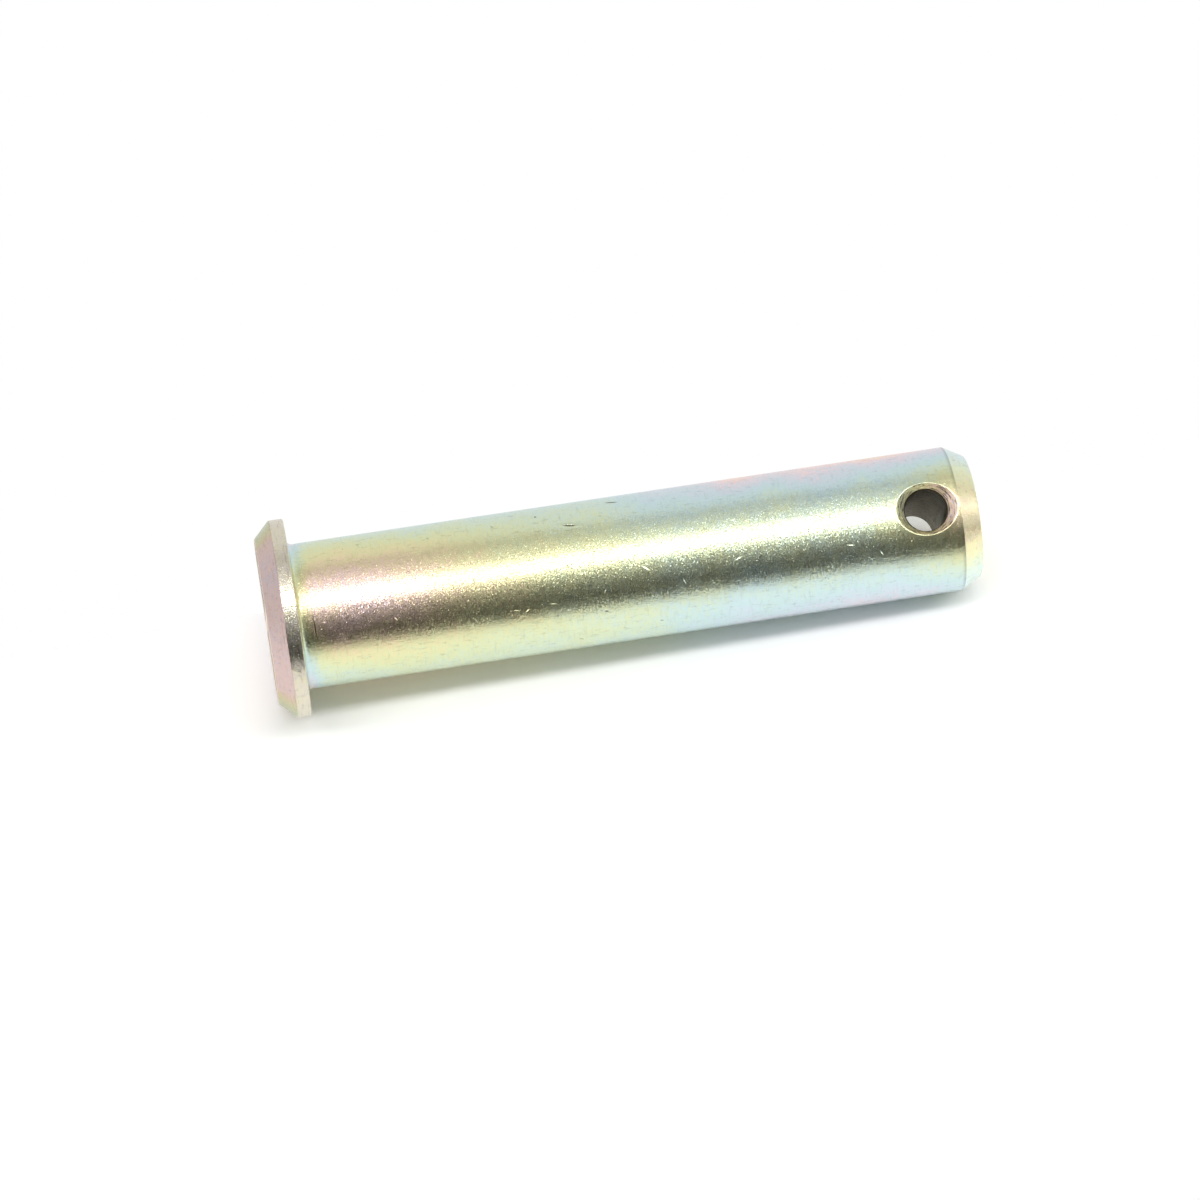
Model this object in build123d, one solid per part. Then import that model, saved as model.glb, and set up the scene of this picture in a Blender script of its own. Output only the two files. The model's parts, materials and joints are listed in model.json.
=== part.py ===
from build123d import *
import math
import os

# Clevis pin, one turned steel piece: a round shank, a flat round head at the bottom, and near the
# free end at the top a cross hole for a split pin or a spring clip.
#
# Frame: the pin stands on the outer face of its head, whose centre is the origin. +Z runs along the
# pin's axis to the free end, and the cross hole runs along Y. Lengths are in millimetres and angles
# in degrees.

# Head
head_diameter = 30.0
head_thickness = 4.7  # from the outer face to the seat, which bears on the clevis ear
head_chamfer = 2.5  # at 45 degrees, round the outer face
head_edge_round = 0.25  # the edge between the rim and the seat

# Shank
shank_diameter = 22.0
shank_length = 103.5  # from the seat to the free end
relief_width = 1.5  # the turned relief under the head, which tapers in from the shank to the seat
relief_depth = 0.1  # at the seat, so that the ear sits flat on it
neck_fillet = 0.9  # in the corner of the relief and the seat

# Free end
end_chamfer_length = 3.0  # along the axis
end_chamfer_angle = 30.0  # from the axis, so that the pin leads into its bore
end_edge_round = 0.3

# Cross hole
hole_diameter = 6.4
hole_to_end = 8.0  # from the hole's axis to the free end
countersink_diameter = 9.4  # where it meets the top of the round shank
countersink_angle = 90.0

# Worked out from the sizes above
head_radius = head_diameter / 2
shank_radius = shank_diameter / 2
neck_radius = shank_radius - relief_depth
end_radius = shank_radius - end_chamfer_length * math.tan(math.radians(end_chamfer_angle))
pin_length = head_thickness + shank_length
hole_height = pin_length - hole_to_end
hole_radius = hole_diameter / 2
countersink_radius = countersink_diameter / 2
countersink_slope = math.tan(math.radians(countersink_angle / 2))


def rounded(face, x, y, radius):
    """The face with the corner nearest to (x, y) rounded."""
    corner = face.vertices().sort_by_distance((x, y))[0]
    return fillet(corner, radius)


def turned_body():
    """The pin as it leaves the lathe: its half section turned about Z."""
    outline = Polyline(
        (0, 0),
        (head_radius - head_chamfer, 0),
        (head_radius, head_chamfer),
        (head_radius, head_thickness),
        (neck_radius, head_thickness),
        (shank_radius, head_thickness + relief_width),
        (shank_radius, pin_length - end_chamfer_length),
        (end_radius, pin_length),
        (0, pin_length),
        close=True,
    )
    section = make_face(outline)
    section = rounded(section, head_radius, head_thickness, head_edge_round)
    section = rounded(section, neck_radius, head_thickness, neck_fillet)
    section = rounded(section, end_radius, pin_length, end_edge_round)
    return revolve(Plane.XZ * section, Axis.Z)


def hole_cutter():
    """Half of the drilled hole and one countersink, as a tool turned about Z from the pin's axis."""
    countersink_depth = (countersink_radius - hole_radius) / countersink_slope
    past = countersink_depth  # how far the tool stands out of the shank
    outline = Polyline(
        (0, 0),
        (hole_radius, 0),
        (hole_radius, shank_radius - countersink_depth),
        (countersink_radius + past * countersink_slope, shank_radius + past),
        (0, shank_radius + past),
        close=True,
    )
    return revolve(Plane.XZ * make_face(outline), Axis.Z)


def clevis_pin():
    """The turned body with the cross hole drilled through it and countersunk from both sides."""
    body = turned_body()
    for side in (-1, 1):
        body -= Pos(0, 0, hole_height) * Rot(side * 90, 0, 0) * hole_cutter()
    return body


os.makedirs("parts", exist_ok=True)
pin = clevis_pin()
pin.label = "clevis_pin"
export_step(pin, "parts/clevis_pin.step")
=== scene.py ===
import json
import math

import bpy
import numpy as np
from mathutils import Matrix, Vector


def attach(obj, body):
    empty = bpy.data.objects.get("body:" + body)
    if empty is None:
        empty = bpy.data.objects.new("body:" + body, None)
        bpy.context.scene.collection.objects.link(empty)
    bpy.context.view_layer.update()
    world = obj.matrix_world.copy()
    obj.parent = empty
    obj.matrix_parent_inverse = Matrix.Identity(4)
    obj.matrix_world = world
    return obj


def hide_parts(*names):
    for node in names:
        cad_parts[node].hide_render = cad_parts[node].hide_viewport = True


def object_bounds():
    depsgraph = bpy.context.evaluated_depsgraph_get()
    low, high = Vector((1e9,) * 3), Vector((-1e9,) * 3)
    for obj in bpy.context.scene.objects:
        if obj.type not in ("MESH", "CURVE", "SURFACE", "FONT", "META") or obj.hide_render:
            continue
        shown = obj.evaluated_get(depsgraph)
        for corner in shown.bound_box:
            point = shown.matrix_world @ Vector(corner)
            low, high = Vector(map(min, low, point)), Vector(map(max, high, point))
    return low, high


# A clevis pin of turned steel with an iridescent zinc plating. The pin stands on its head, with its
# axis along Z, and the mouth of its cross hole that shows faces -Y. Lengths in the mesh code are in
# millimetres, and everything else is in metres.

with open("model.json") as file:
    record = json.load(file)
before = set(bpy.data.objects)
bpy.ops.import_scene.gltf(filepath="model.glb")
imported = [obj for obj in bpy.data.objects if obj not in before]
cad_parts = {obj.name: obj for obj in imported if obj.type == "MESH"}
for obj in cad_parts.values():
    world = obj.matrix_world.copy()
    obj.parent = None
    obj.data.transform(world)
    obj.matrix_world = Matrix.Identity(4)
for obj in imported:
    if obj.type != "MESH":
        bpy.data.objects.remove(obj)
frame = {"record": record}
cad_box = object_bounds()

MM = 0.001
mounts = {mount["name"]: mount for mount in frame["record"]["mounts"]}


# ---------------------------------------------------------------- sizes

def mount_height(name):
    """The height of a mount's point, in millimetres."""
    return mounts[name]["pos_m"][2] / MM


head_radius = cad_box[1].x / MM
pin_length = cad_box[1].z / MM
seat_height = mount_height("head_seat")
shank_radius = mounts["shank"]["dims"]["r_mm"]
shank_half = mounts["shank"]["dims"]["length_mm"] / 2
relief_top = mount_height("shank") - shank_half
chamfer_start = mount_height("shank") + shank_half
hole_height = mount_height("cross_hole")
hole_radius = mounts["cross_hole"]["dims"]["r_mm"]
hole_half = mounts["cross_hole"]["dims"]["length_mm"] / 2  # from the pin's axis to a countersink

head_chamfer = 2.5
relief_depth = 0.1
neck_fillet = 0.9
end_chamfer_angle = 30.0
edge_round = 0.25  # on the edges that the lathe left
seat_edge_round = 0.25
end_radius = shank_radius - (pin_length - chamfer_start) * math.tan(math.radians(end_chamfer_angle))
saddle_round = 0.18  # how softly a countersink runs out on the round shank
bore_lip = 0.15

COLUMNS = 256  # round the pin
SHANK_STEP = 0.4  # between rings along the shank
OTHER_STEP = 1.2
MOUTH_COLUMNS = 24  # on each side of a mouth's middle
MOUTH_BELOW = 6.0  # how far the mouth's patch reaches down the shank from the hole's axis
ARC_STEP = math.radians(11)  # between the points of a rounded corner
SUPPORT = 0.06  # from the end of a long stretch to its nearest ring
SADDLE_RINGS = (0.20, 0.13, 0.08, 0.04, 0.0, -0.04, -0.08, -0.13, -0.20)  # outwards from the saddle edge
BORE_RINGS = 16


# ---------------------------------------------------------------- the turned surface

def rounded_outline(corners):
    """Turns (radius, height, rounding) corners into points, with an arc at each rounded corner."""
    points = [np.array(corners[0][:2])]
    for before, corner, after in zip(corners, corners[1:], corners[2:]):
        here = np.array(corner[:2])
        towards = np.array(before[:2]) - here
        onwards = np.array(after[:2]) - here
        towards = towards / np.linalg.norm(towards)
        onwards = onwards / np.linalg.norm(onwards)
        opening = math.acos(np.clip(towards @ onwards, -1, 1))
        reach = corner[2] / math.tan(opening / 2)
        centre = here + (towards + onwards) / np.linalg.norm(towards + onwards) * (
            corner[2] / math.sin(opening / 2))
        first = here + towards * reach - centre
        last = here + onwards * reach - centre
        turn = math.pi - opening
        steps = max(2, round(turn / ARC_STEP))
        for share in np.linspace(0, 1, steps + 1):
            arc = (first * math.sin((1 - share) * turn) + last * math.sin(share * turn)) / math.sin(turn)
            points.append(centre + arc)
    points.append(np.array(corners[-1][:2]))
    return points


def divided(points):
    """The same line with its long stretches divided, and a support ring near the ends of each."""
    result = [points[0]]
    for start, end in zip(points, points[1:]):
        length = np.linalg.norm(end - start)
        if length > 4 * SUPPORT:
            step = SHANK_STEP if length > pin_length / 2 else OTHER_STEP
            inner = np.linspace(SUPPORT, length - SUPPORT, max(2, round(length / step) + 1))
            result += [start + (end - start) * along / length for along in inner]
        result.append(end)
    return result


def turned_outline():
    """The pin's half section from the middle of the head's face to the middle of the free end."""
    return divided(rounded_outline([
        (0, 0, 0),
        (head_radius - head_chamfer, 0, edge_round),
        (head_radius, head_chamfer, edge_round),
        (head_radius, seat_height, seat_edge_round),
        (shank_radius - relief_depth, seat_height, neck_fillet),
        (shank_radius, relief_top, 2 * edge_round),
        (shank_radius, chamfer_start, edge_round),
        (end_radius, pin_length, edge_round),
        (0, pin_length, 0),
    ]))


class Surface:
    """Vertices and faces gathered while the pin is built, with one region name for each face."""

    def __init__(self):
        self.points = []
        self.faces = []
        self.regions = []

    def add_points(self, points):
        first = len(self.points)
        self.points += [tuple(point) for point in points]
        return np.arange(first, first + len(points))

    def add_face(self, corners, region):
        self.faces.append([int(corner) for corner in corners])
        self.regions.append(region)

    def bridge(self, ring, next_ring, region, closed=True):
        """Quads between two rings of equal length."""
        count = len(ring)
        for i in range(count if closed else count - 1):
            j = (i + 1) % count
            self.add_face((ring[i], ring[j], next_ring[j], next_ring[i]), region)


def region_of(radius, height):
    """Which part of the turned surface a point of the outline lies on."""
    if height <= head_chamfer + edge_round / 2:
        return "head_face" if height < edge_round / 4 else "head_chamfer"
    if radius > shank_radius + neck_fillet:
        return "rim" if height < seat_height - edge_round / 4 else "seat"
    if height < relief_top:
        return "neck"
    if height < chamfer_start:
        return "shank"
    return "end_chamfer" if height < pin_length - edge_round / 4 else "end_face"


def on_pin(radius, angle, height):
    """A point at an angle round the pin from -Y, towards +X."""
    return (radius * math.sin(angle), -radius * math.cos(angle), height)


def build_turned(surface):
    """The turned surface, open where the two mouths go. Returns each mouth's rim of vertices."""
    outline = turned_outline()
    angles = [2 * math.pi * column / COLUMNS for column in range(COLUMNS)]
    mouth_bottom = hole_height - MOUTH_BELOW
    plain = [row for row, (radius, height) in enumerate(outline)
             if abs(radius - shank_radius) < 1e-6 and height >= mouth_bottom]
    low, high = plain[0], plain[-1]
    tip = surface.add_points([(0, 0, outline[0][1])])[0]
    rings = [surface.add_points([on_pin(radius, angle, height) for angle in angles])
             for radius, height in outline[1:-1]]
    rings = [None] + rings
    end = surface.add_points([(0, 0, outline[-1][1])])[0]

    def in_mouth(column):
        """Whether the quad to the right of this column is in one of the mouths."""
        half_way = COLUMNS // 2
        offset = (column + half_way // 2) % half_way - half_way // 2
        return -MOUTH_COLUMNS <= offset < MOUTH_COLUMNS

    for column in range(COLUMNS):
        following = (column + 1) % COLUMNS
        surface.add_face((tip, rings[1][following], rings[1][column]), "head_face")
        surface.add_face((end, rings[-1][column], rings[-1][following]), "end_face")
    for row in range(1, len(rings) - 1):
        middle = (outline[row] + outline[row + 1]) / 2
        region = region_of(*middle)
        for column in range(COLUMNS):
            if low <= row < high and in_mouth(column):
                continue
            following = (column + 1) % COLUMNS
            surface.add_face((rings[row][column], rings[row][following],
                              rings[row + 1][following], rings[row + 1][column]), region)
    rims = []
    for middle in (0, COLUMNS // 2):
        columns = [(middle + offset) % COLUMNS for offset in range(-MOUTH_COLUMNS, MOUTH_COLUMNS + 1)]
        bottom = [rings[low][column] for column in columns]
        right = [rings[row][columns[-1]] for row in range(low + 1, high)]
        top = [rings[high][column] for column in reversed(columns)]
        left = [rings[row][columns[0]] for row in range(high - 1, low, -1)]
        rims.append(bottom + right + top + left)
    return rims


# ---------------------------------------------------------------- the cross hole

def soft_lower(first, second, softness):
    """The lower of two heights, with the edge where they cross rounded."""
    share = np.clip(0.5 + 0.5 * (second - first) / softness, 0, 1)
    return second * (1 - share) + first * share - softness * share * (1 - share)


def mouth_depth(across, along):
    """How far from the pin's axis the countersunk mouth lies, at a point seen along the hole."""
    round_shank = np.sqrt(shank_radius ** 2 - across ** 2)
    cone = hole_half + np.hypot(across, along) - hole_radius
    return soft_lower(round_shank, cone, saddle_round)


def saddle_edge(directions):
    """How far from the hole's axis the countersink runs out on the shank, in each direction."""
    low = np.full(len(directions), hole_radius)
    high = np.full(len(directions), shank_radius / 2)
    for _ in range(40):
        middle = (low + high) / 2
        cone = hole_half + middle - hole_radius
        inside = cone < np.sqrt(shank_radius ** 2 - (middle * np.cos(directions)) ** 2)
        low = np.where(inside, middle, low)
        high = np.where(inside, high, middle)
    return low


def build_hole(surface, rims):
    """Both countersunk mouths and the bore between them, joined to the turned surface's rims."""
    middle_ring = None
    for rim, side in zip(rims, (-1, 1)):
        corners = np.array([surface.points[vertex] for vertex in rim])
        across = corners[:, 0] * -side
        along = corners[:, 2] - hole_height
        directions = np.arctan2(along, across)
        edge = saddle_edge(directions)
        outer = np.hypot(across, along)

        def ring(distance, depth):
            x = distance * np.cos(directions)
            z = distance * np.sin(directions)
            height = mouth_depth(x, z) if depth is None else np.full(len(x), depth)
            return surface.add_points(np.column_stack([x * -side, height * side, z + hole_height]))

        outside = edge + SADDLE_RINGS[0]
        cone_width = edge + SADDLE_RINGS[-1] - hole_radius
        on_shank = [outside + (outer - outside) * share for share in (0.66, 0.33)]
        on_shank += [edge + offset for offset in SADDLE_RINGS if offset > 0]
        in_cone = [edge + offset for offset in SADDLE_RINGS if offset <= 0]
        in_cone += [hole_radius + cone_width * share for share in (0.8, 0.6, 0.4, 0.25, 0.12)]
        previous = rim
        for distances, region in ((on_shank, "shank"), (in_cone, "countersink")):
            for distance in distances:
                following = ring(distance, None)
                surface.bridge(previous, following, region)
                previous = following
        wall = [(hole_radius + bore_lip / 2 * (1 - math.sin(turn)), hole_half - bore_lip * (1 - math.cos(turn)))
                for turn in np.radians((22.5, 45, 67.5, 90))]
        wall += [(hole_radius, depth) for depth in np.linspace(hole_half - 2 * bore_lip, 0, BORE_RINGS)]
        for distance, depth in wall:
            if depth == 0 and middle_ring is not None:
                following = matched(surface, previous, middle_ring)
            else:
                following = ring(np.full(len(edge), distance), depth)
            surface.bridge(previous, following, "bore")
            previous = following
        middle_ring = previous


def matched(surface, ring, other):
    """The other ring's vertices in the order of the nearest ones of this ring."""
    points = np.array(surface.points)
    gaps = points[other][None, :, [0, 2]] - points[ring][:, None, [0, 2]]
    return [other[index] for index in np.argmin(np.hypot(gaps[..., 0], gaps[..., 1]), axis=1)]


def make_mesh(name, surface, materials, regions):
    """A smooth mesh object, with each region's faces in its material."""
    used = sorted({corner for face in surface.faces for corner in face})
    place = {vertex: index for index, vertex in enumerate(used)}
    mesh = bpy.data.meshes.new(name)
    mesh.from_pydata([Vector(surface.points[vertex]) * MM for vertex in used], [],
                     [[place[corner] for corner in face] for face in surface.faces])
    slots = {}
    for material in materials:
        slots[material.name] = len(mesh.materials)
        mesh.materials.append(material)
    for polygon, region in zip(mesh.polygons, surface.regions):
        polygon.use_smooth = True
        polygon.material_index = slots[regions[region]]
    mesh.validate()
    mesh.update()
    made = bpy.data.objects.new(name, mesh)
    bpy.context.scene.collection.objects.link(made)
    return made


# ---------------------------------------------------------------- marks of use

# Dents that show on the shank: degrees round the pin from -Y, height, half length, half width,
# depth and slant from the axis in degrees
# The shader darkens these dents with painted shade; the first, a short line by the neck, is a painted dark
# reflection pressed in as a dent.
SHADED_DENTS = [
    (23.4, 6.9, 1.9, 0.20, 0.09, 90),
    (-32, 46.8, 1.5, 0.26, 0.070, 12),
    (-55, 53.8, 1.6, 0.30, 0.060, 14),
    (-41, 25.6, 0.5, 0.25, 0.030, 30),
    (-49, 42.1, 0.32, 0.26, 0.065, 80),
    (-44, 12.8, 0.3, 0.20, 0.030, 85),
    (-46, 15.1, 0.9, 0.25, 0.025, 70),
    (-44, 35.4, 0.8, 0.35, 0.025, 60),
    (-57, 38.5, 1.2, 0.50, 0.025, 20),
    (-56, 72.3, 0.7, 0.30, 0.025, 15),
    (44, 50.4, 0.5, 0.22, 0.035, 10),
    (63, 58.6, 0.5, 0.28, 0.040, 25),
    (72, 46.4, 0.7, 0.25, 0.035, 40),
]

# Bright scratches on the photographed side, listed as the dents are, with a strength up to 1 for the depth
SCRATCHES = [
    (14.0, 57.0, 1.10, 0.19, 1.0, 38),
    (33.5, 38.6, 0.80, 0.17, 0.9, -35),
    (32.0, 37.0, 1.00, 0.16, 0.8, 8),
    (31.0, 42.5, 1.00, 0.16, 0.8, 6),
    (-14.0, 71.0, 0.90, 0.16, 0.7, 35),
    (17.0, 71.0, 1.10, 0.17, 0.9, -20),
    (24.0, 19.0, 0.70, 0.16, 0.7, 50),
    (29.0, 62.5, 1.00, 0.16, 0.7, 70),
    (20.0, 88.0, 0.80, 0.17, 0.9, 10),
    (27.0, 50.5, 0.60, 0.15, 0.7, -65),
    (30.0, 92.5, 0.80, 0.17, 0.8, 60),
]


def dent_depths(points):
    """How far the marks of use push each point of the shank in."""
    angles = np.degrees(np.arctan2(points[:, 0], -points[:, 1]))
    depths = np.zeros(len(points))
    for angle, height, half_length, half_width, depth, slant in SHADED_DENTS:
        round_way = np.radians(angles - angle) * shank_radius
        up = points[:, 2] - height
        lean = math.radians(slant)
        along = up * math.cos(lean) + round_way * math.sin(lean)
        aside = round_way * math.cos(lean) - up * math.sin(lean)
        depths += depth * np.exp(-(along / half_length) ** 2 - (aside / half_width) ** 2)
    return depths


def dent(surface):
    """Presses the dents into the shank."""
    points = np.array(surface.points)
    radii = np.hypot(points[:, 0], points[:, 1])
    on_shank = (np.abs(radii - shank_radius) < 0.01) & (points[:, 2] > relief_top)
    share = np.where(on_shank, 1 - dent_depths(points) / shank_radius, 1)
    points[:, :2] *= share[:, None]
    surface.points = [tuple(point) for point in points]


# ---------------------------------------------------------------- materials

def out_from_pin(angle):
    """The level direction at an angle round the pin from -Y, towards +X, in degrees."""
    return Vector((math.sin(math.radians(angle)), -math.cos(math.radians(angle)), 0))


class Shader:
    """A material under construction, with short calls for the nodes that it needs."""

    def __init__(self, name):
        self.material = bpy.data.materials.new(name)
        self.material.use_nodes = True
        self.nodes = self.material.node_tree.nodes
        self.links = self.material.node_tree.links
        self.surface = self.nodes["Principled BSDF"]

    def node(self, kind, inputs=None, **settings):
        made = self.nodes.new(kind)
        for name, value in settings.items():
            setattr(made, name, value)
        for name, value in (inputs or {}).items():
            self.feed(value, made.inputs[name])
        return made

    def feed(self, value, socket):
        if isinstance(value, bpy.types.NodeSocket):
            self.links.new(value, socket)
        else:
            socket.default_value = value

    def math(self, operation, first, second=0.0, third=0.0):
        return self.node("ShaderNodeMath", {0: first, 1: second, 2: third}, operation=operation).outputs[0]

    def noise(self, vector, scale, detail=2.0, roughness=0.5):
        return self.node("ShaderNodeTexNoise", {"Vector": vector, "Scale": scale, "Detail": detail,
                                                "Roughness": roughness}).outputs["Fac"]

    def stretched(self, vector, factors):
        return self.node("ShaderNodeVectorMath", {0: vector, 1: factors}, operation="MULTIPLY").outputs[0]

    def between(self, value, low, high, new_low=0.0, new_high=1.0):
        """The value mapped smoothly from one range to another, and held at its ends."""
        return self.node("ShaderNodeMapRange", {"Value": value, "From Min": low, "From Max": high,
                                                "To Min": new_low, "To Max": new_high},
                         interpolation_type="SMOOTHSTEP").outputs["Result"]

    def curve(self, value, stops):
        """A value read off a smooth line through (place, value) stops, both from 0 to 1."""
        ramp = self.node("ShaderNodeValToRGB", {"Fac": value})
        self.set_stops(ramp, [(place, (level, level, level)) for place, level in stops])
        return self.node("ShaderNodeSeparateColor", {"Color": ramp.outputs["Color"]}).outputs["Red"]

    def colours(self, value, stops):
        ramp = self.node("ShaderNodeValToRGB", {"Fac": value})
        self.set_stops(ramp, stops)
        return ramp.outputs["Color"]

    @staticmethod
    def set_stops(ramp, stops):
        elements = ramp.color_ramp.elements
        while len(elements) < len(stops):
            elements.new(1.0)
        for element, (place, colour) in zip(elements, stops):
            element.position = place
            element.color = (*colour, 1.0)

    def mixed(self, share, first, second):
        mix = self.node("ShaderNodeMix", data_type="RGBA")
        self.feed(share, mix.inputs["Factor"])
        self.feed(first, mix.inputs[6])
        self.feed(second, mix.inputs[7])
        return mix.outputs[2]


# The colours of the plating as its film gets thinner, once round, from pink back to pink
FILM_COLOURS = [
    (0.00, (0.85, 0.635, 0.595)),
    (0.10, (0.81, 0.635, 0.480)),
    (0.18, (0.76, 0.645, 0.405)),
    (0.27, (0.71, 0.670, 0.390)),
    (0.36, (0.665, 0.685, 0.410)),
    (0.44, (0.63, 0.690, 0.465)),
    (0.52, (0.60, 0.690, 0.540)),
    (0.60, (0.565, 0.685, 0.615)),
    (0.68, (0.53, 0.680, 0.680)),
    (0.76, (0.56, 0.665, 0.705)),
    (0.84, (0.61, 0.650, 0.705)),
    (0.92, (0.70, 0.630, 0.675)),
    (1.00, (0.85, 0.635, 0.595)),
]
BARE_PLATING = (0.62, 0.575, 0.50, 1.0)  # where the film hardly shows
# A dark brown for real dirt in the tool lines and smears, and for painted shade in the dents, along the end
# chamfer's edge and, with unplated steel, in the bore.
GRIME_AND_SHADE = (0.10, 0.085, 0.06, 1.0)
VIEW_TURN = math.radians(10.92)  # of the photographed side round the pin, from -Y towards +X
PATTERN_TURN = math.radians(2.0)  # of the film's middle at the head

# How many features of each pattern lie in a millimetre, roughly
LINE_SCALE = 2.4
SHORT_LINE_SCALE = 1.7
GRAIN_SCALE = 4.6
SPARKLE_SCALE = 5.6
BLOTCH_SCALE = 0.9
PATCH_SCALE = 0.16

LINE_ARCS = 4.0  # how fast the tool's lines change round the pin
SHORT_LINE_ARCS = 3.0
HOLE_LINE_ARCS = 0.8
GRAIN_HUES = 0.18  # how far one grain's colour is from the next one's
LEAN = 0.13  # of every grain
FAR_LEAN = 3.7  # of the few grains that sparkle
ROUGHNESS_DRIFT = 0.06
MICRON = 0.000001


class Spot:
    """Where a point of the pin lies, in millimetres, for the patterns of its surface."""

    def __init__(self, shader, round_hole=False):
        self.place = shader.stretched(shader.node("ShaderNodeTexCoord").outputs["Object"],
                                      (1 / MM, 1 / MM, 1 / MM))
        parts = shader.node("ShaderNodeSeparateXYZ", {"Vector": self.place}).outputs
        self.height = parts["Z"]
        if round_hole:
            first = shader.math("SUBTRACT", parts["Z"], hole_height)
            profile = shader.math("ABSOLUTE", parts["Y"])
        else:
            first = shader.math("MULTIPLY", parts["Y"], -1.0)
            profile = parts["Z"]
        second = parts["X"]
        self.radius = shader.math("SQRT", shader.math("MULTIPLY_ADD", first, first,
                                                      shader.math("MULTIPLY", second, second)))
        self.cosine = shader.math("DIVIDE", first, self.radius)
        self.sine = shader.math("DIVIDE", second, self.radius)
        # A line of one turn of the tool lies at one value of this along any outline
        self.profile = shader.math("MULTIPLY_ADD", self.radius, 0.6, shader.math("MULTIPLY", profile, 1.3))

    def round_lines(self, shader, arcs):
        """Coordinates that change fast across the tool's lines and slowly round them."""
        return shader.node("ShaderNodeCombineXYZ", {
            "X": self.profile, "Y": shader.math("MULTIPLY", self.cosine, arcs),
            "Z": shader.math("MULTIPLY", self.sine, arcs)}).outputs[0]

    def unrolled(self, shader):
        """The shank's surface laid flat: millimetres round from -Y and along."""
        angle = shader.math("ARCTAN2", self.sine, self.cosine)
        return shader.node("ShaderNodeCombineXYZ", {"X": shader.math("MULTIPLY", angle, shank_radius),
                                                    "Y": self.height}).outputs[0]


def shank_film_and_sheen(shader, spot):
    """The film's order on the shank: it thins towards the free end. Its change away from the front is a painted
    sheen, the film's shift of colour towards grazing view laid round the side that faces the camera.
    """
    height = shader.math("DIVIDE", spot.height, pin_length)
    front = shader.curve(height, [(0.045, 0.32), (0.055, 0.20), (0.065, 0.04), (0.08, 0.0), (0.11, 0.01),
                                  (0.185, 0.08), (0.277, 0.19), (0.37, 0.27), (0.46, 0.36), (0.555, 0.43),
                                  (0.65, 0.46), (0.80, 0.47), (0.87, 0.44), (0.92, 0.31), (0.96, 0.22)])
    sheen_spread = shader.curve(height, [(0.05, 0.62), (0.185, 0.47), (0.277, 0.38), (0.37, 0.30), (0.46, 0.25),
                                   (0.555, 0.28), (0.65, 0.42), (0.74, 0.42), (0.83, 0.48), (0.92, 0.62)])
    shift = shader.curve(height, [(0.05, 0.0), (0.30, 0.08), (0.55, 0.15), (0.74, 0.12), (0.90, 0.10)])
    aside = shader.math("MULTIPLY_ADD", spot.sine, math.cos(PATTERN_TURN),
                        shader.math("MULTIPLY", spot.cosine, -math.sin(PATTERN_TURN)))
    turned = shader.math("SUBTRACT", aside, shift)
    return shader.math("MULTIPLY_ADD", sheen_spread, shader.math("MULTIPLY", turned, turned), front)


def even_film(level):
    """The same order of film all over."""
    return lambda shader, spot: level


def film_with_sideways_sheen(middle, edges, start=0.25):
    """Film whose colour changes from the side of the pin that faces the camera round to both sides: a painted
    sheen, the film's shift of colour towards grazing view.
    """
    def film(shader, spot):
        aside = shader.math("MULTIPLY_ADD", spot.sine, math.cos(VIEW_TURN),
                            shader.math("MULTIPLY", spot.cosine, -math.sin(VIEW_TURN)))
        return shader.between(shader.math("ABSOLUTE", aside), start, 1.0, middle, edges)
    return film


def countersink_film(shader, spot):
    """Yellow-green towards the head and pink towards the free end."""
    return shader.math("MULTIPLY_ADD", spot.cosine, -0.18, 0.25)


def marks(shader, flat, shapes):
    """Long spots on the unrolled shank, each as strong in its middle as the fifth value says."""
    deepest = 0.0
    for degrees, height, half_length, half_width, depth, slant in shapes:
        middle = (math.radians(degrees) * shank_radius, height, 0)
        local = shader.node("ShaderNodeMapping", {
            "Vector": flat, "Location": middle, "Rotation": (0, 0, -math.radians(slant)),
            "Scale": (half_width, half_length, 1)}, vector_type="TEXTURE").outputs[0]
        off = shader.node("ShaderNodeVectorMath", {0: local}, operation="LENGTH").outputs["Value"]
        deep = shader.between(off, 0.15, 1.0, depth, 0.0)
        deepest = shader.math("MAXIMUM", deepest, deep)
    return deepest


def sparkling(shader, spot, normal, strength):
    """The normal tilted from grain to grain: most grains lean a little and a few lean far."""
    tilt = shader.node("ShaderNodeTexNoise", {"Vector": shader.stretched(spot.place, (1.0, 1.0, 1.3)),
                                              "Scale": SPARKLE_SCALE, "Detail": 0.0}).outputs["Color"]
    tilt = shader.node("ShaderNodeVectorMath", {0: tilt, 1: (0.5, 0.5, 0.5)}, operation="SUBTRACT").outputs[0]
    far = shader.node("ShaderNodeVectorMath", {0: tilt, 1: tilt}, operation="DOT_PRODUCT").outputs["Value"]
    lean = shader.math("MULTIPLY_ADD", far, FAR_LEAN * strength, LEAN * strength)
    tilt = shader.node("ShaderNodeVectorMath", {0: tilt, "Scale": lean}, operation="SCALE").outputs[0]
    tilted = shader.node("ShaderNodeVectorMath", {0: normal, 1: tilt}, operation="ADD").outputs[0]
    return shader.node("ShaderNodeVectorMath", {0: tilted}, operation="NORMALIZE").outputs[0]


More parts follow.
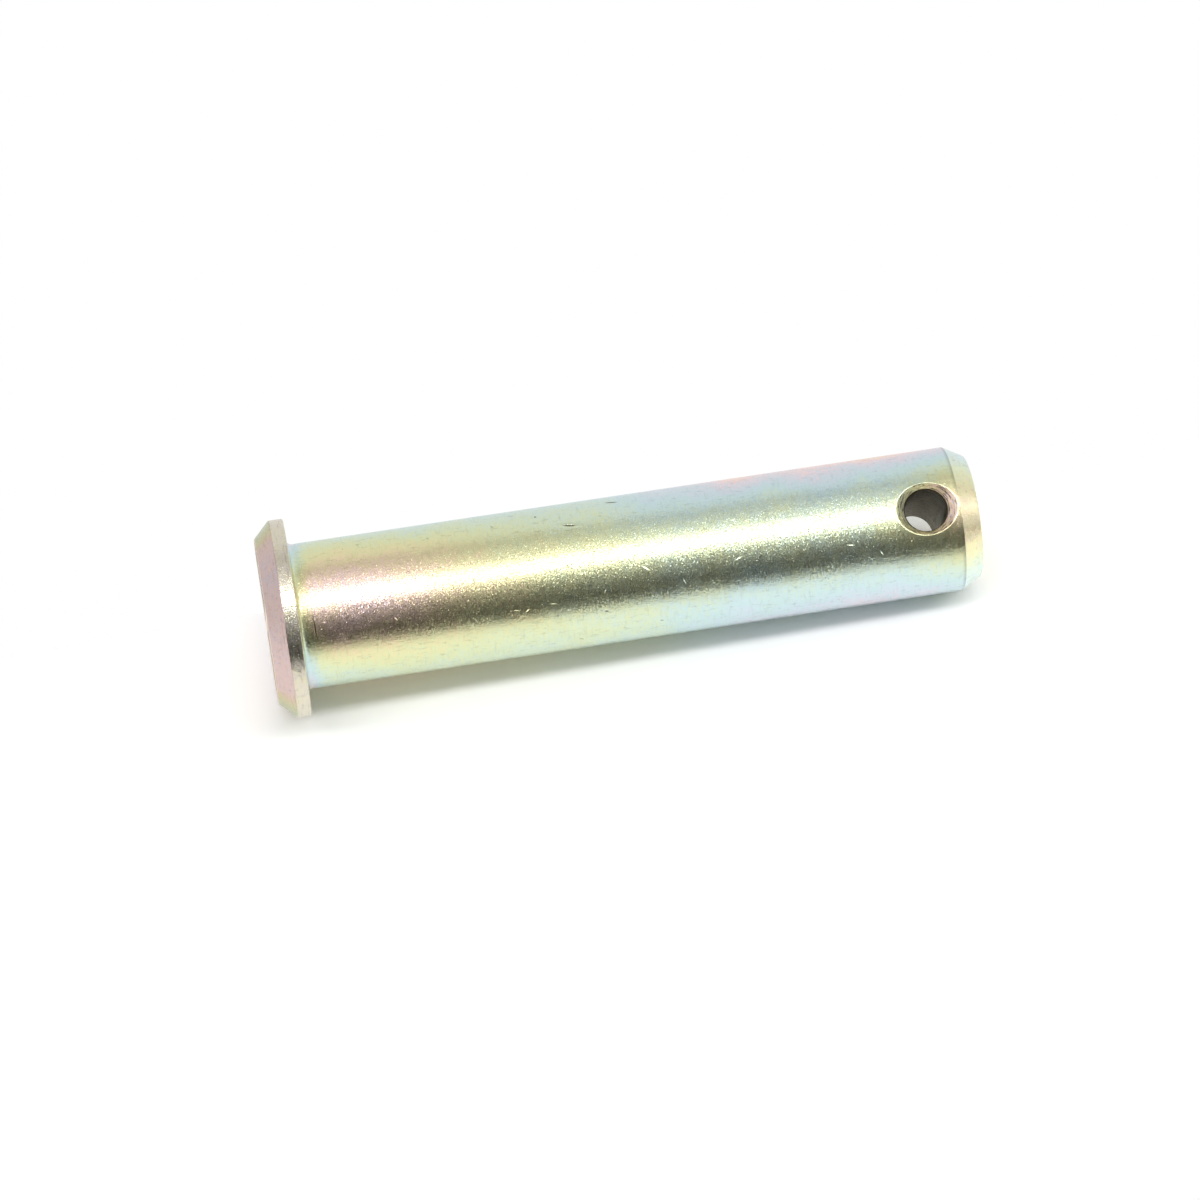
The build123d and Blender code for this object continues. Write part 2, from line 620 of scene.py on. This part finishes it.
def plated(name, film, sparkle=1.0, grain=12.0, tooling=8.0, streaks=0.16, hue_drift=0.33,
           line_hues=0.36, shade=1.0, bare=0.0, unplated_and_shade=0.0, gloss=0.28, round_hole=False, with_marks=False):
    """Satin steel under iridescent plating. film gives the film's order; grain and tooling are heights
    in micrometres; streaks, hue_drift, bare and grime are shares, and grime darkens the colour partly as
    unplated steel and partly as painted shade."""
    shader = Shader(name)
    spot = Spot(shader, round_hole)
    lines = shader.noise(spot.round_lines(shader, LINE_ARCS), LINE_SCALE, 3.0, 0.65)
    short_lines = shader.noise(spot.round_lines(shader, HOLE_LINE_ARCS if round_hole else SHORT_LINE_ARCS),
                               LINE_SCALE if round_hole else SHORT_LINE_SCALE, 2.0, 0.7)
    dark_lines = shader.between(short_lines, 0.50, 0.85)
    grains = shader.noise(spot.place, GRAIN_SCALE, 0.0)
    patches = shader.noise(spot.place, PATCH_SCALE, 3.0)
    blotches = shader.noise(spot.place, BLOTCH_SCALE, 3.0, 0.6)

    order = film(shader, spot)
    for pattern, reach in ((patches, hue_drift), (lines, line_hues), (grains, GRAIN_HUES)):
        order = shader.math("ADD", order, shader.math("MULTIPLY", shader.math("SUBTRACT", pattern, 0.5), reach))
    colour = shader.colours(shader.math("WRAP", order, 1.0, 0.0), FILM_COLOURS)
    if bare:
        colour = shader.mixed(shader.between(blotches, 0.35, 0.65, bare - 0.15, bare + 0.15), colour, BARE_PLATING)
    # How far the colour goes towards the dark brown: the dark tool lines and smears, and where marks are on,
    # painted shade in the dents and along the end chamfer's edge.
    dulled_and_shaded = shader.math("MULTIPLY", dark_lines, streaks)
    smears = shader.noise(shader.stretched(spot.place, (2.2, 2.2, 0.7)), BLOTCH_SCALE, 3.0, 0.65)
    dulled_and_shaded = shader.math("ADD", dulled_and_shaded, shader.between(smears, 0.55, 0.78, 0.0, 0.30))
    depth = shader.math("MULTIPLY_ADD", grains, grain, shader.math("MULTIPLY", lines, tooling))
    depth = shader.math("MULTIPLY_ADD", dark_lines, -tooling, depth)
    if with_marks:
        flat = spot.unrolled(shader)
        dents = marks(shader, flat, [(*shape[:4], shape[4] * MM / MICRON, shape[5]) for shape in SHADED_DENTS])
        scratches = marks(shader, flat, SCRATCHES)
        # Painted shade darkens the dents; on the first one it is a painted dark reflection.
        dulled_and_shaded = shader.math("ADD", dulled_and_shaded, shader.between(dents, 6.0, 60.0, 0.0, 0.85))
        # Painted shade: a dark line along the edge where the end chamfer starts.
        off_edge = shader.math("ABSOLUTE", shader.math("SUBTRACT", spot.height, chamfer_start))
        dulled_and_shaded = shader.math("ADD", dulled_and_shaded, shader.between(off_edge, 0.05, 0.60, 0.3, 0.0))
        depth = shader.math("SUBTRACT", depth, dents)
    colour = shader.mixed(shader.math("MINIMUM", shader.math("ADD", dulled_and_shaded, unplated_and_shade), 0.95), colour, GRIME_AND_SHADE)
    if shade != 1.0:
        colour = shader.stretched(colour, (shade, shade, shade))
    shader.feed(colour, shader.surface.inputs["Base Color"])
    shader.surface.inputs["Metallic"].default_value = 1.0
    roughness = shader.between(blotches, 0.3, 0.7, gloss, gloss + ROUGHNESS_DRIFT)
    shader.feed(roughness, shader.surface.inputs["Roughness"])
    bump = shader.node("ShaderNodeBump", {"Height": depth, "Strength": 1.0, "Distance": MICRON})
    normal = sparkling(shader, spot, bump.outputs["Normal"], sparkle)
    if with_marks:
        facing = shader.node("ShaderNodeCombineXYZ", dict(zip("XYZ", out_from_pin(0)))).outputs[0]
        normal = shader.mixed(scratches, normal, facing)
    shader.feed(normal, shader.surface.inputs["Normal"])
    return shader.material


# ---------------------------------------------------------------- the pin

def build_pin():
    """The whole pin as one mesh, with a material for each region that the tools left."""
    surface = Surface()
    rims = build_turned(surface)
    build_hole(surface, rims)
    dent(surface)
    materials = {
        "shank": plated("zinc_shank", shank_film_and_sheen, with_marks=True),
        "head_face": plated("zinc_head_face", even_film(0.1), bare=0.3, tooling=12.0),
        "head_chamfer": plated("zinc_head_chamfer", film_with_sideways_sheen(0.99, 1.40, 0.75), shade=0.68, hue_drift=0.15,
                               line_hues=0.15, streaks=0.3),
        "rim": plated("zinc_rim", even_film(0.25), bare=0.8, streaks=0.4, line_hues=0.4),
        "seat": plated("zinc_seat", even_film(0.45), bare=0.25, tooling=12.0),
        "end_chamfer": plated("zinc_end_chamfer", film_with_sideways_sheen(0.24, 0.66), tooling=4.0, sparkle=0.5, shade=1.15,
                              bare=0.2),
        "end_face": plated("zinc_end_face", even_film(0.35), tooling=14.0, bare=0.15),
        # The countersink's lighter colour is partly brighter plating and partly painted light, making up for the
        # light that reaches into the hole.
        "countersink": plated("zinc_countersink", countersink_film, sparkle=0.6, tooling=60.0, streaks=3.0,
                              line_hues=0.6, shade=1.15, round_hole=True),
        # The bore is darkened partly as unplated steel and partly with painted shade inside the hole.
        "bore": plated("zinc_bore", even_film(0.2), unplated_and_shade=0.86, gloss=0.4, streaks=1.5, tooling=60.0,
                       round_hole=True),
    }
    regions = {region: material.name for region, material in materials.items()}
    regions["neck"] = regions["shank"]
    return make_mesh("pin_surface", surface, list(materials.values()), regions)


# ---------------------------------------------------------------- camera and stage

PIN_LEAN = math.radians(4.47)  # the free end leans away from the camera
PIN_RISE = math.radians(8.57)  # the pin rises to the right in the picture
HEAD_DISTANCE = 0.7477  # from the camera to the head, along the gaze
HEAD_LEFT = 0.05026  # of the picture's middle
HEAD_DOWN = 0.00327
LENS = 149.0

PAPER_GREY = 0.8
PAPER_TILT = 40.5  # from the photographed side round to the way that the backdrop faces
FLOOR_REACH = 3.0
BACKDROP_LOW, BACKDROP_HIGH = -0.25, 0.45
BACKDROP_NEAR, BACKDROP_FAR = -0.015, 0.12  # its two edges, sideways from the pin's axis
CARD_DISTANCE = 0.6
CARD_LOW = -0.7
CARD_HIGH = 1.4  # as far up as the chamfer of the end mirrors
CARD_STRIPS = 12
KEY_TURN = -22  # from the photographed side, in degrees
KEY_WIDTH = 0.11
KEY_BRIGHTNESS = 7.0
KEY_DISTANCE = 0.7
WORLD_LEVEL = 1.0
WORLD_IN_DIFFUSE = 0.8


def build_camera():
    """A long lens at the photographed side, turned so that the standing pin lies across the picture."""
    level = Vector((-math.sin(VIEW_TURN), math.cos(VIEW_TURN), 0))
    gaze = level * math.cos(PIN_LEAN) + Vector((0, 0, math.sin(PIN_LEAN)))
    pin_up = (Vector((0, 0, 1)) - gaze * math.sin(PIN_LEAN)).normalized()
    pin_side = gaze.cross(pin_up)
    right = pin_up * math.cos(PIN_RISE) + pin_side * math.sin(PIN_RISE)
    up = pin_up * math.sin(PIN_RISE) - pin_side * math.cos(PIN_RISE)
    camera = bpy.data.objects.new("camera", bpy.data.cameras.new("camera"))
    turn = Matrix((right, up, -gaze)).transposed().to_4x4()
    spot = -gaze * HEAD_DISTANCE + right * HEAD_LEFT + up * HEAD_DOWN
    camera.matrix_world = Matrix.Translation(spot) @ turn
    camera.data.sensor_width = 36.0
    camera.data.lens = LENS
    camera.data.clip_start = 0.01
    camera.data.clip_end = 20.0
    bpy.context.scene.collection.objects.link(camera)
    bpy.context.scene.camera = camera


def stage_sheet(name, corners, material):
    """One flat sheet of the stage."""
    mesh = bpy.data.meshes.new(name)
    mesh.from_pydata(corners, [], [range(len(corners))])
    mesh.materials.append(material)
    sheet = bpy.data.objects.new(name, mesh)
    bpy.context.scene.collection.objects.link(sheet)
    return sheet


def paper(name, to_camera, in_gloss):
    """White paper that shows from its front alone. The camera and reflections see it as brighter than
    it lights the rest, as in an overexposed picture, so that only its shadows show."""
    shader = Shader(name)
    shader.nodes.remove(shader.surface)
    rays = shader.node("ShaderNodeLightPath").outputs
    from_behind = shader.node("ShaderNodeNewGeometry").outputs["Backfacing"]
    grey = shader.math("MULTIPLY_ADD", rays["Is Camera Ray"], to_camera - PAPER_GREY, PAPER_GREY)
    grey = shader.math("MULTIPLY_ADD", rays["Is Glossy Ray"], in_gloss - PAPER_GREY, grey)
    white = shader.node("ShaderNodeCombineColor", {"Red": grey, "Green": grey, "Blue": grey})
    shaded = shader.node("ShaderNodeBsdfDiffuse", {"Color": white.outputs["Color"]})
    clear = shader.node("ShaderNodeBsdfTransparent")
    hidden = shader.math("MULTIPLY", from_behind, rays["Is Camera Ray"])
    choice = shader.node("ShaderNodeMixShader", {0: hidden, 1: shaded.outputs[0], 2: clear.outputs[0]})
    shader.feed(choice.outputs[0], shader.nodes["Material Output"].inputs["Surface"])
    return shader.material


def card(name, first, last, levels):
    """A tall grey card that stands round the pin from one angle to another. Only light and
    reflections see it. levels are (share of its width, brightness) stops."""
    shader = Shader(name)
    shader.nodes.remove(shader.surface)
    across = shader.node("ShaderNodeSeparateXYZ", {"Vector": shader.node("ShaderNodeTexCoord").outputs["UV"]})
    grey = shader.curve(across.outputs["X"], levels)
    light = shader.node("ShaderNodeEmission", {"Strength": grey})
    shader.feed(light.outputs[0], shader.nodes["Material Output"].inputs["Surface"])
    columns = [out_from_pin(first + (last - first) * strip / CARD_STRIPS) * CARD_DISTANCE
               for strip in range(CARD_STRIPS + 1)]
    bottom = Vector((0, 0, CARD_LOW))
    top = Vector((0, 0, CARD_HIGH))
    mesh = bpy.data.meshes.new(name)
    mesh.from_pydata([column + bottom for column in columns] + [column + top for column in columns], [],
                     [(strip, strip + 1, CARD_STRIPS + strip + 2, CARD_STRIPS + strip + 1)
                      for strip in range(CARD_STRIPS)])
    layer = mesh.uv_layers.new(name="width")
    for loop in mesh.loops:
        layer.data[loop.index].uv = (loop.vertex_index % (CARD_STRIPS + 1) / CARD_STRIPS, 0.5)
    mesh.materials.append(shader.material)
    made = bpy.data.objects.new(name, mesh)
    bpy.context.scene.collection.objects.link(made)
    made.visible_camera = False


def build_stage():
    """The paper that the pin stands on and lies against, and the cards that its steel mirrors."""
    floor = stage_sheet("floor", [(-FLOOR_REACH, -FLOOR_REACH, 0), (FLOOR_REACH, -FLOOR_REACH, 0),
                                  (FLOOR_REACH, FLOOR_REACH, 0), (-FLOOR_REACH, FLOOR_REACH, 0)],
                        paper("floor_paper", 1.7, 1.0))
    floor.visible_glossy = False
    floor.visible_diffuse = False
    floor.visible_shadow = False

    # The backdrop leans on the pin: it touches the head's rim and the far end of the shank
    backdrop = paper("backdrop_paper", 1.12, 1.2)
    facing = math.degrees(VIEW_TURN) - PAPER_TILT
    outward = out_from_pin(facing)
    along = out_from_pin(facing + 90)
    slope = (head_radius - shank_radius) / (chamfer_start - seat_height)

    def behind(height):
        return -outward * (head_radius + (seat_height - height / MM) * slope) * MM

    stage_sheet("backdrop", [
        behind(height) + along * aside + Vector((0, 0, height))
        for height, aside in ((BACKDROP_LOW, BACKDROP_NEAR), (BACKDROP_LOW, BACKDROP_FAR),
                              (BACKDROP_HIGH, BACKDROP_FAR), (BACKDROP_HIGH, BACKDROP_NEAR))], backdrop)
    view = math.degrees(VIEW_TURN)
    card("dark_card", view - 8, view + 60, [(0.0, 0.75), (0.1, 0.45), (0.25, 0.32), (0.45, 0.10), (0.7, 0.02),
                                            (1.0, 0.02)])
    card("gap_card", view - 80, view - 50, [(0.0, 0.8), (0.25, 0.4), (0.5, 0.75), (1.0, 0.9)])


def build_light():
    """An even white surround and one tall key light."""
    world = bpy.data.worlds.new("studio")
    bpy.context.scene.world = world
    world.use_nodes = True
    nodes, links = world.node_tree.nodes, world.node_tree.links
    background = nodes["Background"]
    background.inputs["Color"].default_value = (1, 1, 1, 1)
    rays = nodes.new("ShaderNodeLightPath")
    level = nodes.new("ShaderNodeMapRange")
    level.inputs["To Min"].default_value = WORLD_LEVEL
    level.inputs["To Max"].default_value = WORLD_IN_DIFFUSE
    links.new(rays.outputs["Is Diffuse Ray"], level.inputs["Value"])
    links.new(level.outputs["Result"], background.inputs["Strength"])

    key = bpy.data.lights.new("key_light", "AREA")
    key.shape = "RECTANGLE"
    key.size = KEY_WIDTH
    key.size_y = CARD_HIGH - CARD_LOW
    key.energy = KEY_BRIGHTNESS * math.pi * key.size * key.size_y
    lamp = bpy.data.objects.new("key_light", key)
    towards = out_from_pin(math.degrees(VIEW_TURN) + KEY_TURN)
    lamp.location = towards * KEY_DISTANCE + Vector((0, 0, (CARD_HIGH + CARD_LOW) / 2))
    lamp.rotation_euler = (-towards).to_track_quat("-Z", "Y").to_euler()
    bpy.context.scene.collection.objects.link(lamp)


pin = build_pin()
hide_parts("clevis_pin")
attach(pin, "root")
build_camera()
build_stage()
build_light()
bpy.context.scene.view_settings.view_transform = "Standard"
